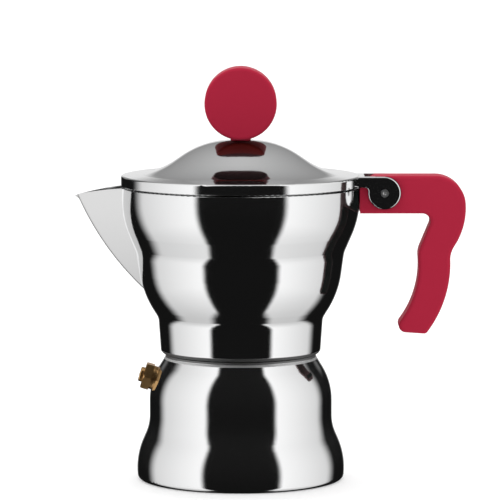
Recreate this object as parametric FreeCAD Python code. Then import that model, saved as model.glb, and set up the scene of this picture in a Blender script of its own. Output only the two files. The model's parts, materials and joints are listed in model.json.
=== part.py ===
"""One-cup stovetop moka pot with a wavy polished casting, a beak spout, a hinged lid and a flat wavy handle.

Units are millimetres.  +Z is up, the origin is the centre of the boiler's flat foot, the spout points
along -X and the handle along +X.  Each function builds one separate piece of the pot and returns its solid.
"""

import FreeCAD
import Part
import math
import os

# Boiler: the lower, water-holding casting
NECK_RADIUS = 26.4
NECK_WALL = 3.2
NECK_LENGTH = 8.2
BOILER_LEDGE_WIDTH = 1.9
BOILER_LAND_HEIGHT = 0.9
BOILER_SHOULDER_WIDTH = 6.0
BOILER_SHOULDER_HEIGHT = 9.6
BOILER_SHOULDER_CURVE = 24.4
BOILER_BELLY_HEIGHT = 16.2
BOILER_WAIST_CURVE = 16.7
BOILER_FLARE_WIDTH = 5.2
BOILER_FLARE_HEIGHT = 11.9
BOILER_FLARE_CURVE = 27.0
BOILER_FOOT_HEIGHT = 8.7
BOILER_FOOT_INSET = 0.6
BOILER_FOOT_EDGE = 2.0
BOILER_WALL = 3.0
BOILER_FLOOR = 3.5

# Seal stack between the two castings
FUNNEL_RIM_THICKNESS = 1.0
GASKET_THICKNESS = 2.6
GASKET_WIDTH = 6.3
FILTER_PLATE_THICKNESS = 0.9
FILTER_PLATE_OVERLAP = 4.8
FILTER_HOLE_RADIUS = 0.6
FILTER_HOLE_RINGS = 4

# Funnel: the coffee basket with its riser tube
BASKET_DEPTH = 12.0
BASKET_LEDGE = 3.0
FUNNEL_CONE_HEIGHT = 7.0
FUNNEL_WALL = 0.9
RISER_BORE_RADIUS = 2.75
RISER_FLOOR_GAP = 2.5
STRAINER_THICKNESS = 0.8
STRAINER_HOLE_RADIUS = 0.6
STRAINER_HOLE_RINGS = 4

# Collector: the upper casting that holds the brewed coffee
COLLAR_WALL = 3.3
COLLAR_FOOT_EDGE = 1.8
COLLAR_FLARE_WIDTH = 0.8
COLLAR_HEIGHT = 13.4
COLLAR_CORNER_CURVE = 5.0
LOWER_SLOPE_WIDTH = 5.9
LOWER_SLOPE_HEIGHT = 9.5
LOWER_BULGE_CURVE = 34.0
LOWER_WALL_WIDTH = 2.1
LOWER_WALL_HEIGHT = 15.2
CREASE_CURVE = 9.6
UPPER_SLOPE_WIDTH = 5.8
UPPER_SLOPE_HEIGHT = 13.3
UPPER_BULGE_CURVE = 34.6
RIM_LAND_HEIGHT = 11.3
RIM_EDGE = 0.3
COLLECTOR_WALL = 2.8
COLLECTOR_FLOOR = 4.0
SEAL_DOME_HEIGHT = 1.6

# Column: the coffee outlet standing in the collector
COLUMN_FOOT_RADIUS = 8.6
COLUMN_TOP_RADIUS = 6.2
COLUMN_HEIGHT = 34.0
COLUMN_BORE_RADIUS = 2.7
COLUMN_CAP_THICKNESS = 2.4
COLUMN_OUTLET_RADIUS = 2.0

# Spout: a V-shaped beak with a bow-shaped ridge
SPOUT_LENGTH = 17.6
SPOUT_TIP_DROP = 3.2
SPOUT_LIP_LENGTH = 2.0
SPOUT_LIP_HEIGHT = 1.7
SPOUT_LIP_RUN = 5.0
SPOUT_ROOT_INSET = 2.6
SPOUT_ROOT_DROP = 38.4
SPOUT_RIDGE_CROWN = 2.0
SPOUT_RIDGE_EDGE = 1.4
SPOUT_HALF_ANGLE = 25.0
SPOUT_BORE_HALF_ANGLE = 22.5
SPOUT_RIDGE_WALL = 2.2
SPOUT_RIM_CROWN = 0.5

# Lid: a bell-shaped dome that flares into its brim, with two hinge ears
LID_OVERHANG = 0.2
LID_EDGE = 0.8
LID_FOOT_EDGE = 0.3
LID_RIM_HEIGHT = 4.0
LID_RIM_WIDTH = 2.6
LID_WALL = 2.0
LID_LIP_WIDTH = 1.6
LID_LIP_DEPTH = 2.0
BRIM_WIDTH = 14.1
BRIM_RISE = 1.4
DOME_FLARE_CURVE = 27.4
DOME_SLOPE = 34.3
DOME_CROWN_CURVE = 31.5
DOME_SEAT_RADIUS = 3.8

# Hinge: the pin and the lid's ears beside the handle
HINGE_STANDOFF = 9.0
HINGE_DROP = 6.1
HINGE_PIN_RADIUS = 1.5
HINGE_PIN_PROUD = 0.3
HINGE_PIN_DIMPLE_RADIUS = 0.7
HINGE_PIN_DIMPLE_DEPTH = 0.5
EAR_THICKNESS = 2.5
EAR_EDGE = 0.8
EAR_HEEL_FILLET = 1.4

# Handle: a flat moulded grip that echoes the casting's waves
HANDLE_THICKNESS = 13.0
HANDLE_EDGE = 1.4
HANDLE_RISE = 0.2
HANDLE_FLOOR = 3.7
HANDLE_LENGTH = 39.5
HANDLE_SHOULDER_RADIUS = 11.3
HANDLE_DROP = 59.5
GRIP_CREASE_INSET = 5.9
GRIP_CREASE_DROP = 28.8
GRIP_CREASE_FILLET = 9.0
GRIP_UPPER_CROWN = 1.7
GRIP_LOWER_CROWN = 3.1
GRIP_CROTCH_INSET = 11.8
GRIP_CROTCH_FILLET = 3.0
GRIP_WIDTH = 12.0
GRIP_INNER_CROWN = 3.7
GRIP_TOE_INSET = 14.7
GRIP_TOE_WIDTH = 13.1
GRIP_TOE_RISE = 0.9
GRIP_HEEL_FILLET = 1.6
GRIP_TOE_FILLET = 2.7

# Tongue: the collector's lug inside the handle
TONGUE_THICKNESS = 6.0
TONGUE_EYE_RADIUS = 4.2
TONGUE_RIM_STEP = 0.4
HANDLE_SCREW_SETBACK = 4.2
HANDLE_SCREW_RADIUS = 1.5
HANDLE_SCREW_HEAD_RADIUS = 2.9
HANDLE_SCREW_HEAD_HEIGHT = 1.7
HANDLE_SCREW_BITE = 4.4
HANDLE_SCREW_DRIVE_WIDTH = 0.7
HANDLE_SCREW_DRIVE_DEPTH = 0.8

# Knob: an upright disc screwed on from inside the lid
KNOB_RADIUS = 13.5
KNOB_THICKNESS = 16.0
KNOB_EDGE = 1.2
KNOB_FOOT_HEIGHT = 0.4
INSERT_RADIUS = 2.8
INSERT_LENGTH = 8.0
KNOB_SCREW_RADIUS = 1.9
KNOB_SCREW_LENGTH = 6.0
KNOB_SCREW_HEAD_RADIUS = 3.2
KNOB_SCREW_HEAD_HEIGHT = 2.2
KNOB_SCREW_DRIVE_WIDTH = 0.9
KNOB_SCREW_DRIVE_DEPTH = 1.0
KNOB_WASHER_RADIUS = 3.7
KNOB_WASHER_THICKNESS = 0.8

# Relief valve: a brass body screwed into the boiler's shoulder
VALVE_RISE = 1.2
VALVE_TILT = 17.0
VALVE_SPOT_DEPTH = 1.1
VALVE_SHANK_RADIUS = 3.2
VALVE_SHANK_LENGTH = 7.0
VALVE_FLANGE_RADIUS = 4.5
VALVE_FLANGE_HEIGHT = 1.4
VALVE_HEX_FLATS = 9.4
VALVE_HEX_HEIGHT = 3.1
VALVE_HEX_CHAMFER = 0.5
VALVE_NOSE_RADIUS = 2.8
VALVE_NOSE_HEIGHT = 1.5
VALVE_NOSE_EDGE = 0.5
VALVE_BORE_RADIUS = 2.1
VALVE_PORT_RADIUS = 0.95
VALVE_END_WALL = 2.0
VALVE_WASHER_THICKNESS = 0.5
VALVE_WASHER_WIDTH = 1.1
VALVE_BOSS_RADIUS = 5.6
VALVE_BOSS_DEPTH = 2.0
RETAINER_LENGTH = 1.4
RETAINER_BORE_RADIUS = 1.0
VALVE_SEAL_THICKNESS = 0.6
PLUNGER_HEAD_RADIUS = 1.85
PLUNGER_HEAD_HEIGHT = 1.0
PLUNGER_STEM_RADIUS = 0.8
PLUNGER_PROUD = 0.1
SPRING_COIL_RADIUS = 1.4
SPRING_WIRE_RADIUS = 0.17
SPRING_TURNS = 6

# Clearances between pieces
SEAT_GAP = 0.3
THREAD_CLEARANCE = 0.4
SLIP_CLEARANCE = 0.3
LID_GAP = 0.3
LID_LIP_CLEARANCE = 0.6
PIN_CLEARANCE = 0.05
SCREW_CLEARANCE = 0.05
EAR_CLEARANCE = 0.3
TONGUE_CLEARANCE = 0.2
HANDLE_WALL_GAP = 0.3
HANDLE_SWING_CLEARANCE = 0.9
LID_SWING_CLEARANCE = 2.4
SPRING_CLEARANCE = 0.03

# Heights that follow from the sizes above
BOILER_WAIST_Z = BOILER_FOOT_HEIGHT + BOILER_FLARE_HEIGHT
BOILER_BELLY_Z = BOILER_WAIST_Z + BOILER_BELLY_HEIGHT
BOILER_SHOULDER_Z = BOILER_BELLY_Z + BOILER_SHOULDER_HEIGHT
VALVE_Z = BOILER_BELLY_Z + VALVE_RISE
LEDGE_Z = BOILER_SHOULDER_Z + BOILER_LAND_HEIGHT
NECK_TOP_Z = LEDGE_Z + NECK_LENGTH
GASKET_Z = NECK_TOP_Z + FUNNEL_RIM_THICKNESS
FILTER_Z = GASKET_Z + GASKET_THICKNESS
SEAL_CEILING_Z = FILTER_Z + FILTER_PLATE_THICKNESS
COLLECTOR_FLOOR_Z = SEAL_CEILING_Z + COLLECTOR_FLOOR
COLLAR_Z = LEDGE_Z + SEAT_GAP
COLLAR_TOP_Z = COLLAR_Z + COLLAR_HEIGHT
LOWER_BULGE_Z = COLLAR_TOP_Z + LOWER_SLOPE_HEIGHT
CREASE_Z = LOWER_BULGE_Z + LOWER_WALL_HEIGHT
UPPER_BULGE_Z = CREASE_Z + UPPER_SLOPE_HEIGHT
RIM_Z = UPPER_BULGE_Z + RIM_LAND_HEIGHT
LID_Z = RIM_Z + LID_GAP
BRIM_Z = LID_Z + LID_RIM_HEIGHT
FLARE_Z = BRIM_Z + BRIM_RISE
HINGE_Z = BRIM_Z - HINGE_DROP
HANDLE_TOP_Z = BRIM_Z + HANDLE_RISE
TONGUE_Z = HINGE_Z - TONGUE_EYE_RADIUS
HANDLE_ARM_Z = TONGUE_Z - HANDLE_FLOOR
HANDLE_SCREW_TOP_Z = TONGUE_Z + HANDLE_SCREW_BITE
HANDLE_SCREW_SEAT_Z = HANDLE_ARM_Z + HANDLE_SCREW_HEAD_HEIGHT

# Radii and widths that follow from the sizes above
NECK_BORE_RADIUS = NECK_RADIUS - NECK_WALL
BOILER_SHOULDER_RADIUS = NECK_RADIUS + BOILER_LEDGE_WIDTH
BOILER_WAIST_RADIUS = BOILER_SHOULDER_RADIUS + BOILER_SHOULDER_WIDTH
BOILER_FLARE_RADIUS = BOILER_WAIST_RADIUS + BOILER_FLARE_WIDTH
BOILER_FOOT_RADIUS = BOILER_FLARE_RADIUS - BOILER_FOOT_INSET
COLLAR_BORE_RADIUS = NECK_RADIUS + THREAD_CLEARANCE
COLLAR_FOOT_RADIUS = COLLAR_BORE_RADIUS + COLLAR_WALL
COLLAR_TOP_RADIUS = COLLAR_FOOT_RADIUS + COLLAR_FLARE_WIDTH
LOWER_BULGE_RADIUS = COLLAR_TOP_RADIUS + LOWER_SLOPE_WIDTH
CREASE_RADIUS = LOWER_BULGE_RADIUS + LOWER_WALL_WIDTH
RIM_RADIUS = CREASE_RADIUS + UPPER_SLOPE_WIDTH
SPOUT_TIP_REACH = RIM_RADIUS + SPOUT_LENGTH
SPOUT_ROOT_REACH = CREASE_RADIUS - SPOUT_ROOT_INSET
LID_RADIUS = RIM_RADIUS + LID_OVERHANG
FLARE_RADIUS = LID_RADIUS - BRIM_WIDTH
CROWN_RADIUS = DOME_SEAT_RADIUS + DOME_CROWN_CURVE * math.tan(math.radians(DOME_SLOPE) / 2)
HINGE_REACH = RIM_RADIUS + HINGE_STANDOFF
HANDLE_REACH = RIM_RADIUS + HANDLE_LENGTH
HANDLE_SCREW_REACH = HINGE_REACH - HANDLE_SCREW_SETBACK
HANDLE_SWING_RADIUS = HINGE_DROP + HANDLE_RISE + HANDLE_SWING_CLEARANCE
LID_SWING_RADIUS = HANDLE_SWING_RADIUS + LID_SWING_CLEARANCE
SEAL_RECESS_RADIUS = COLLAR_BORE_RADIUS - 2 * SLIP_CLEARANCE
GASKET_RADIUS = SEAL_RECESS_RADIUS - SLIP_CLEARANCE
GASKET_BORE_RADIUS = GASKET_RADIUS - GASKET_WIDTH
FILTER_PLATE_RADIUS = GASKET_BORE_RADIUS + FILTER_PLATE_OVERLAP
BASKET_RADIUS = NECK_BORE_RADIUS - SLIP_CLEARANCE
BASKET_BORE_RADIUS = BASKET_RADIUS - FUNNEL_WALL
FUNNEL_RIM_RADIUS = NECK_RADIUS - 2 * SLIP_CLEARANCE
RISER_RADIUS = RISER_BORE_RADIUS + FUNNEL_WALL
BASKET_FLOOR_Z = NECK_TOP_Z + FUNNEL_RIM_THICKNESS - BASKET_DEPTH
HANDLE_HALF = HANDLE_THICKNESS / 2
EAR_INNER = HANDLE_HALF + EAR_CLEARANCE
EAR_OUTER = EAR_INNER + EAR_THICKNESS
EAR_RADIUS = HINGE_DROP

# Heights of the dome and the knob, which follow from the lid's slope
APEX_Z = FLARE_Z + (FLARE_RADIUS - CROWN_RADIUS) * math.tan(math.radians(DOME_SLOPE))
LID_CEILING_Z = APEX_Z - LID_WALL
KNOB_SCREW_SEAT_Z = LID_CEILING_Z - KNOB_WASHER_THICKNESS
KNOB_SCREW_TOP_Z = APEX_Z + KNOB_SCREW_LENGTH
KNOB_CENTRE_Z = APEX_Z + KNOB_FOOT_HEIGHT + KNOB_RADIUS

UP = FreeCAD.Vector(0, 0, 1)
ACROSS = FreeCAD.Vector(0, 1, 0)
ORIGIN = FreeCAD.Vector(0, 0, 0)


def at(x, z, y=0.0):
    """A point given by its radius or X, its height, and its Y if it isn't in the middle plane."""
    return FreeCAD.Vector(x, y, z)


def line(start, end):
    """A straight edge."""
    return Part.LineSegment(start, end).toShape()


def arc(start, middle, end):
    """A circular edge through three points."""
    return Part.Arc(start, middle, end).toShape()


def crowned(start, end, crown):
    """An arc from start to end that bulges by crown to the right of its direction, seen from -Y."""
    chord = end - start
    side = FreeCAD.Vector(chord.z, 0, -chord.x)
    side.normalize()
    return arc(start, (start + end) * 0.5 + side * crown, end)


def tangent_arc(start, heading, end):
    """The arc from start to end that leaves start along heading, and its heading at the end."""
    chord = end - start
    along = FreeCAD.Vector(chord).normalize()
    heading = FreeCAD.Vector(heading).normalize()
    sideways = heading - along * heading.dot(along)
    leaving = along * (2 * heading.dot(along)) - heading
    if sideways.Length < 1e-6:
        return line(start, end), leaving
    turn = heading.getAngle(along)
    bulge = FreeCAD.Vector(sideways).normalize() * (chord.Length / 2 * math.tan(turn / 2))
    return arc(start, (start + end) * 0.5 + bulge, end), leaving


def eased(*corners):
    """Straight edges through the corners, each a pair of a point and the radius of the arc that rounds it."""
    edges = []
    start = corners[0][0]
    for (before, _), (corner, radius), (after, _) in zip(corners, corners[1:], corners[2:]):
        arriving = (corner - before).normalize()
        leaving = (after - corner).normalize()
        setback = radius * math.tan(arriving.getAngle(leaving) / 2)
        end = corner - arriving * setback
        restart = corner + leaving * setback
        edges += [line(start, end), tangent_arc(end, arriving, restart)[0]]
        start = restart
    return edges + [line(start, corners[-1][0])]


def path(*points):
    """Straight edges through the points."""
    return [line(a, b) for a, b in zip(points, points[1:])]


def face_of(edges):
    """A flat face inside a closed run of edges."""
    return Part.Face(Part.Wire(Part.__sortEdges__(edges)))


def turned(edges):
    """A solid of revolution about Z from a closed half profile."""
    return face_of(edges).revolve(ORIGIN, UP, 360)


def drum(radius, bottom, top):
    """A plain cylinder about Z between two heights."""
    return Part.makeCylinder(radius, top - bottom, at(0, bottom))


def ring(outer, inner, bottom, top):
    """A plain ring about Z between two heights."""
    return drum(outer, bottom, top).cut(drum(inner, bottom, top))


def cross_drum(radius, x, z, half_length):
    """A cylinder along Y through the point (x, z), as long each way as half_length."""
    return Part.makeCylinder(radius, 2 * half_length, at(x, z, -half_length), ACROSS)


def slab(x0, x1, half_width, z0, z1):
    """A box, centred on the middle plane."""
    return Part.makeBox(x1 - x0, 2 * half_width, z1 - z0, at(x0, z0, -half_width))


def rounded(solid, radius, chosen):
    """The solid with each edge that chosen accepts rounded."""
    return solid.makeFillet(radius, [e for e in solid.Edges if chosen(e)])


def flat_edges(y):
    """A test for edges that lie wholly in the plane at that Y."""
    return lambda e: abs(e.BoundBox.YMin - y) < 1e-4 and abs(e.BoundBox.YMax - y) < 1e-4


def circle_at(radius, z):
    """A test for the circle of that radius about Z at that height."""
    def chosen(edge):
        box = edge.BoundBox
        return abs(box.ZMin - z) < 1e-4 and abs(box.ZMax - z) < 1e-4 and abs(box.XMax - radius) < 1e-3
    return chosen


def shoulder_radius_at(z):
    """The boiler's outer radius on the curve of its shoulder, at that height."""
    turn = math.atan2(BOILER_SHOULDER_WIDTH, BOILER_SHOULDER_HEIGHT)
    start = BOILER_BELLY_Z - BOILER_SHOULDER_CURVE * math.tan(turn / 2)
    fall = BOILER_SHOULDER_CURVE - math.sqrt(BOILER_SHOULDER_CURVE ** 2 - (z - start) ** 2)
    return BOILER_WAIST_RADIUS - fall


def valve_placement():
    """Puts a piece that was made along +Z, from its seat on the boiler, onto the relief valve's axis."""
    tilt = math.radians(VALVE_TILT)
    outward = FreeCAD.Vector(-math.cos(tilt), 0, math.sin(tilt))
    seat = at(-shoulder_radius_at(VALVE_Z), VALVE_Z) - outward * VALVE_SPOT_DEPTH
    return FreeCAD.Placement(seat, FreeCAD.Rotation(UP, outward))


def on_valve_axis(solid):
    """The solid moved onto the relief valve's axis."""
    return solid.transformed(valve_placement().toMatrix(), True)


def boiler_skin(inset):
    """The boiler's wavy outer edges, moved in by inset, from the foot up to the shoulder."""
    return eased(
        (at(BOILER_FOOT_RADIUS - inset, BOILER_FOOT_EDGE), 0),
        (at(BOILER_FLARE_RADIUS - inset, BOILER_FOOT_HEIGHT), BOILER_FLARE_CURVE),
        (at(BOILER_WAIST_RADIUS - inset, BOILER_WAIST_Z), BOILER_WAIST_CURVE),
        (at(BOILER_WAIST_RADIUS - inset, BOILER_BELLY_Z), BOILER_SHOULDER_CURVE),
        (at(BOILER_SHOULDER_RADIUS - inset, BOILER_SHOULDER_Z), 0),
    )


def boiler():
    """The lower casting: flat foot, two waves, a threaded neck and a spot face for the relief valve."""
    flat = BOILER_FOOT_RADIUS - BOILER_FOOT_EDGE
    outline = path(at(0, NECK_TOP_Z), at(0, 0), at(flat, 0))
    outline += [tangent_arc(at(flat, 0), at(1, 0), at(BOILER_FOOT_RADIUS, BOILER_FOOT_EDGE))[0]]
    outline += boiler_skin(0)
    outline += path(
        at(BOILER_SHOULDER_RADIUS, BOILER_SHOULDER_Z), at(BOILER_SHOULDER_RADIUS, LEDGE_Z),
        at(NECK_RADIUS, LEDGE_Z), at(NECK_RADIUS, NECK_TOP_Z), at(0, NECK_TOP_Z),
    )
    chamber = path(at(0, BOILER_SHOULDER_Z), at(0, BOILER_FOOT_EDGE))
    chamber += path(at(0, BOILER_FOOT_EDGE), at(BOILER_FOOT_RADIUS - BOILER_WALL, BOILER_FOOT_EDGE))
    chamber += boiler_skin(BOILER_WALL)
    chamber += path(at(BOILER_SHOULDER_RADIUS - BOILER_WALL, BOILER_SHOULDER_Z), at(0, BOILER_SHOULDER_Z))
    hollow = turned(chamber).cut(drum(BOILER_FOOT_RADIUS, 0, BOILER_FLOOR))
    boss = on_valve_axis(drum(VALVE_BOSS_RADIUS, -VALVE_BOSS_DEPTH - BOILER_WALL, 0))
    body = turned(outline).cut(hollow.cut(boss))
    body = body.cut(drum(NECK_BORE_RADIUS, BOILER_WAIST_Z, NECK_TOP_Z))
    spot = drum(VALVE_FLANGE_RADIUS + SLIP_CLEARANCE, 0, BOILER_WALL + VALVE_SPOT_DEPTH)
    hole = drum(VALVE_SHANK_RADIUS + SCREW_CLEARANCE, -VALVE_SHANK_LENGTH - BOILER_WALL, VALVE_SPOT_DEPTH)
    return body.cut(on_valve_axis(spot)).cut(on_valve_axis(hole))


def valve_body():
    """The brass relief valve: shank, flange, hexagon and nose, bored for the plunger and its spring."""
    flange_z = VALVE_WASHER_THICKNESS
    hex_z = flange_z + VALVE_FLANGE_HEIGHT
    nose_z = hex_z + VALVE_HEX_HEIGHT
    tip_z = nose_z + VALVE_NOSE_HEIGHT
    half = VALVE_HEX_FLATS / math.sqrt(3)
    angles = [k * math.pi / 3 for k in range(7)]
    corners = [at(half * math.sin(angle), hex_z, half * math.cos(angle)) for angle in angles]
    hexagon = face_of(path(*corners)).extrude(UP * VALVE_HEX_HEIGHT)
    foot = at(0, hex_z - VALVE_HEX_CHAMFER)
    crown = Part.makeCone(half + VALVE_HEX_HEIGHT, half - VALVE_HEX_CHAMFER, nose_z - foot.z, foot)
    nose = drum(VALVE_NOSE_RADIUS, nose_z, tip_z)
    nose = rounded(nose, VALVE_NOSE_EDGE, circle_at(VALVE_NOSE_RADIUS, tip_z))
    body = drum(VALVE_SHANK_RADIUS, -VALVE_SHANK_LENGTH, flange_z)
    body = body.fuse([drum(VALVE_FLANGE_RADIUS, flange_z, hex_z), hexagon.common(crown), nose])
    body = body.cut(drum(VALVE_BORE_RADIUS, -VALVE_SHANK_LENGTH, tip_z - VALVE_END_WALL))
    body = body.cut(drum(VALVE_PORT_RADIUS, 0, tip_z))
    return on_valve_axis(body.removeSplitter())


def valve_levels():
    """Heights along the valve's axis: retainer top, plunger head top and the shoulder behind the spring."""
    retainer_top = RETAINER_LENGTH - VALVE_SHANK_LENGTH
    head_top = retainer_top + VALVE_SEAL_THICKNESS + PLUNGER_HEAD_HEIGHT
    tip = VALVE_WASHER_THICKNESS + VALVE_FLANGE_HEIGHT + VALVE_HEX_HEIGHT + VALVE_NOSE_HEIGHT
    return retainer_top, head_top, tip - VALVE_END_WALL


def valve_washer():
    """The flat washer that seals the valve's flange on the boiler's spot face."""
    bore = VALVE_SHANK_RADIUS + SCREW_CLEARANCE
    return on_valve_axis(ring(bore + VALVE_WASHER_WIDTH, bore, 0, VALVE_WASHER_THICKNESS))


def valve_retainer():
    """The ring pressed into the valve's inner end, with the pressure port that the plunger closes."""
    top = valve_levels()[0]
    return on_valve_axis(ring(VALVE_BORE_RADIUS, RETAINER_BORE_RADIUS, -VALVE_SHANK_LENGTH, top))


def valve_seal():
    """The soft disc under the plunger's head that closes the pressure port."""
    bottom = valve_levels()[0]
    return on_valve_axis(drum(PLUNGER_HEAD_RADIUS, bottom, bottom + VALVE_SEAL_THICKNESS))


def valve_plunger():
    """The plunger: a head that carries the spring and a stem that shows outside the nose."""
    retainer_top, head_top, shoulder = valve_levels()
    head = drum(PLUNGER_HEAD_RADIUS, retainer_top + VALVE_SEAL_THICKNESS, head_top)
    stem_top = shoulder + VALVE_END_WALL + PLUNGER_PROUD
    stem = drum(PLUNGER_STEM_RADIUS, head_top, stem_top)
    stem = rounded(stem, PLUNGER_STEM_RADIUS / 2, circle_at(PLUNGER_STEM_RADIUS, stem_top))
    return on_valve_axis(head.fuse(stem).removeSplitter())


def biarc(start, leaving, end, arriving):
    """Two arcs from start to end that share a heading where they meet and keep the headings at both ends."""
    chord = end - start
    both = leaving + arriving
    spread = 2 * (1 - leaving.dot(arriving))
    reach = (math.sqrt(chord.dot(both) ** 2 + spread * chord.dot(chord)) - chord.dot(both)) / spread
    middle = (start + leaving * reach + end - arriving * reach) * 0.5
    first, heading = tangent_arc(start, leaving, middle)
    return [first, tangent_arc(middle, heading, end)[0]]


def coil_point(angle, bottom, climb):
    """A point on the spring's centre line, and its heading there, for a climb in each radian."""
    cos, sin = math.cos(angle), math.sin(angle)
    point = FreeCAD.Vector(SPRING_COIL_RADIUS * cos, SPRING_COIL_RADIUS * sin, bottom + climb * angle)
    heading = FreeCAD.Vector(-SPRING_COIL_RADIUS * sin, SPRING_COIL_RADIUS * cos, climb)
    return point, heading.normalize()


def least_turn_gap(bottom, climb):
    """The least gap between the spring's neighbouring turns, measured on points along its centre line."""
    steps = 24 * SPRING_TURNS
    points = [coil_point(2 * math.pi * k / 24, bottom, climb)[0] for k in range(steps + 1)]
    apart = [a.distanceToPoint(b) for k, a in enumerate(points) for b in points[k + 12:]]
    return min(apart) - 2 * SPRING_WIRE_RADIUS


def valve_spring():
    """The compression spring round the plunger's stem, one unbroken wire."""
    _, head_top, shoulder = valve_levels()
    margin = SPRING_WIRE_RADIUS + SPRING_CLEARANCE
    bottom = head_top + margin
    climb = (shoulder - margin - bottom) / (2 * math.pi * SPRING_TURNS)
    edges = []
    for k in range(2 * SPRING_TURNS):
        start, leaving = coil_point(k * math.pi, bottom, climb)
        end, arriving = coil_point((k + 1) * math.pi, bottom, climb)
        edges += biarc(start, leaving, end, arriving)
    spine = Part.Wire(edges)
    start, heading = coil_point(0, bottom, climb)
    section = Part.Wire(Part.makeCircle(SPRING_WIRE_RADIUS, start, heading))
    print(f"valve spring: least gap between turns {least_turn_gap(bottom, climb):.2f} mm")
    return on_valve_axis(spine.makePipeShell([section], True, False))


def hole_rings(hole_radius, rings, field_radius, bottom, top):
    """Holes on evenly spaced rings, six more on each ring than on the one inside it."""
    pitch = (field_radius - hole_radius) / (rings + 0.5)
    holes = [drum(hole_radius, bottom, top)]
    for k in range(1, rings + 1):
        for n in range(6 * k):
            angle = 2 * math.pi * n / (6 * k)
            spot = FreeCAD.Vector(k * pitch * math.cos(angle), k * pitch * math.sin(angle), bottom)
            holes.append(Part.makeCylinder(hole_radius, top - bottom, spot))
    return Part.makeCompound(holes)


def funnel():
    """The spun funnel: a flat rim, a straight basket, a ledge for the strainer, a cone and the riser tube."""
    rim_top = NECK_TOP_Z + FUNNEL_RIM_THICKNESS
    ledge = BASKET_BORE_RADIUS - BASKET_LEDGE
    cone_z = BASKET_FLOOR_Z - FUNNEL_CONE_HEIGHT
    riser_z = BOILER_FLOOR + RISER_FLOOR_GAP
    edges = path(
        at(FUNNEL_RIM_RADIUS, rim_top), at(BASKET_BORE_RADIUS, rim_top),
        at(BASKET_BORE_RADIUS, BASKET_FLOOR_Z), at(ledge, BASKET_FLOOR_Z),
        at(RISER_BORE_RADIUS, cone_z), at(RISER_BORE_RADIUS, riser_z),
        at(RISER_RADIUS, riser_z), at(RISER_RADIUS, cone_z - FUNNEL_WALL / 2),
        at(ledge + FUNNEL_WALL / 2, BASKET_FLOOR_Z - FUNNEL_WALL),
        at(BASKET_RADIUS, BASKET_FLOOR_Z - FUNNEL_WALL), at(BASKET_RADIUS, NECK_TOP_Z),
        at(FUNNEL_RIM_RADIUS, NECK_TOP_Z), at(FUNNEL_RIM_RADIUS, rim_top),
    )
    return turned(edges)


def funnel_strainer():
    """The perforated disc pressed onto the funnel's ledge, under the ground coffee."""
    top = BASKET_FLOOR_Z + STRAINER_THICKNESS
    disc = drum(BASKET_BORE_RADIUS - SCREW_CLEARANCE, BASKET_FLOOR_Z, top)
    field = BASKET_BORE_RADIUS - BASKET_LEDGE
    return disc.cut(hole_rings(STRAINER_HOLE_RADIUS, STRAINER_HOLE_RINGS, field, BASKET_FLOOR_Z, top))


def gasket():
    """The flat silicone ring that seals the collector on the funnel's rim."""
    return ring(GASKET_RADIUS, GASKET_BORE_RADIUS, GASKET_Z, FILTER_Z)


def filter_plate():
    """The perforated plate held up under the collector by the gasket."""
    top = SEAL_CEILING_Z
    disc = drum(FILTER_PLATE_RADIUS, FILTER_Z, top)
    return disc.cut(hole_rings(FILTER_HOLE_RADIUS, FILTER_HOLE_RINGS, GASKET_BORE_RADIUS, FILTER_Z, top))


def collector_corners(inset):
    """The collector's outer corners with their roundings, moved in by inset, from collar top to rim."""
    return [
        (at(COLLAR_TOP_RADIUS - inset, COLLAR_TOP_Z), COLLAR_CORNER_CURVE),
        (at(LOWER_BULGE_RADIUS - inset, LOWER_BULGE_Z), LOWER_BULGE_CURVE),
        (at(CREASE_RADIUS - inset, CREASE_Z), CREASE_CURVE),
        (at(RIM_RADIUS - inset, UPPER_BULGE_Z), UPPER_BULGE_CURVE),
    ]


def collector_casting():
    """The collector's full outer form, still solid inside."""
    foot = COLLAR_FOOT_RADIUS - COLLAR_FOOT_EDGE
    cheek = at(COLLAR_FOOT_RADIUS, COLLAR_Z + COLLAR_FOOT_EDGE)
    edges = path(at(0, RIM_Z), at(0, COLLAR_Z), at(foot, COLLAR_Z))
    edges += [tangent_arc(at(foot, COLLAR_Z), at(1, 0), cheek)[0]]
    edges += eased((cheek, 0), *collector_corners(0), (at(RIM_RADIUS, RIM_Z), RIM_EDGE), (at(0, RIM_Z), 0))
    return turned(edges)


def collector_chamber():
    """The space for the coffee inside the collector, above its floor."""
    brink = at(RIM_RADIUS - COLLECTOR_WALL, RIM_Z)
    corners = collector_corners(COLLECTOR_WALL)
    edges = path(brink, at(0, RIM_Z), at(0, COLLAR_TOP_Z), corners[0][0])
    edges += eased(*corners, (brink, 0))
    return turned(edges).cut(drum(RIM_RADIUS, COLLAR_Z, COLLECTOR_FLOOR_Z))


def spout_tip():
    """The spout's foremost point, and the point of the ridge below it from which the lip flares out."""
    tip = at(-SPOUT_TIP_REACH, RIM_Z - SPOUT_TIP_DROP)
    return tip, at(tip.x + SPOUT_LIP_LENGTH, tip.z - SPOUT_LIP_HEIGHT)


def beak(inset, half_angle):
    """A V-shaped wedge behind the spout's ridge: one side profile drawn out aslant both ways."""
    lip = spout_tip()[1] + at(inset, 0)
    root = at(inset - SPOUT_ROOT_REACH, RIM_Z - SPOUT_ROOT_DROP)
    ridge = crowned(root, lip, -SPOUT_RIDGE_CROWN)
    rising = ridge.tangentAt(ridge.LastParameter)
    peak = lip + rising * ((LID_Z - lip.z) / rising.z)
    side = face_of([ridge] + path(lip, peak, at(0, LID_Z), at(0, root.z), root))
    spread = RIM_RADIUS * math.tan(math.radians(half_angle))
    near = side.extrude(FreeCAD.Vector(RIM_RADIUS, -spread, 0))
    far = side.extrude(FreeCAD.Vector(RIM_RADIUS, spread, 0))
    behind = slab(0, 2 * RIM_RADIUS, RIM_RADIUS, COLLAR_Z, BRIM_Z)
    return near.fuse(far).removeSplitter().cut(behind)


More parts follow.
